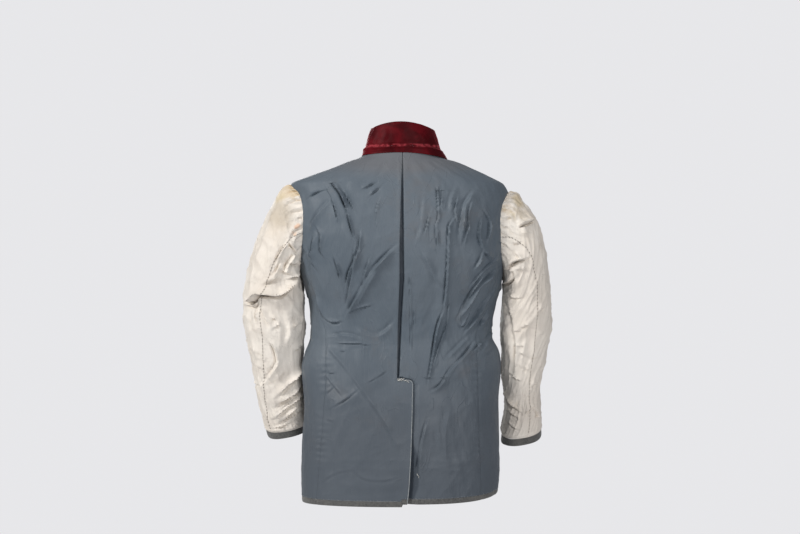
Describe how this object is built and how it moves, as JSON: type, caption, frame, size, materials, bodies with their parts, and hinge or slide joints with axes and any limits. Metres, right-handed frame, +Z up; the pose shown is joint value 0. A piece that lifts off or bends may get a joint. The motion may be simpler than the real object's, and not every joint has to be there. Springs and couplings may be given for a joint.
{
  "type": "uniform jacket",
  "caption": "Worn uniform jacket turned inside out: lined body with a back vent and ease pleat, two-piece sleeve linings, a velvet collar turned up, and cloth turnings at hem and cuffs.",
  "frame": {"origin": "nape: the middle of the back neck seam, on the outer face of the cloth", "axes": "+Z up from hem to neck; +Y towards the back of the garment; +X towards the wearer's left"},
  "size_m": [0.614, 0.2546, 0.7496],
  "materials": {
    "lining": "worn sateen",
    "sleeve_lining": "worn cream cotton sateen",
    "velvet": "cut velvet",
    "shell_cloth": "milled wool"
  },
  "bodies": {
    "root": {"collar_stand": "velvet", "collar_fall": "velvet", "back_left": "lining", "side_left": "lining", "front_left": "lining", "facing_left": "shell_cloth", "hem_back_left": "shell_cloth", "hem_side_left": "shell_cloth", "hem_front_left": "shell_cloth", "sleeve_top_left": "sleeve_lining", "cuff_top_left": "shell_cloth", "sleeve_under_left": "sleeve_lining", "cuff_under_left": "shell_cloth", "back_right": "lining", "side_right": "lining", "front_right": "lining", "facing_right": "shell_cloth", "hem_back_right": "shell_cloth", "hem_side_right": "shell_cloth", "hem_front_right": "shell_cloth", "sleeve_top_right": "sleeve_lining", "cuff_top_right": "shell_cloth", "sleeve_under_right": "sleeve_lining", "cuff_under_right": "shell_cloth"}
  },
  "joints": []
}
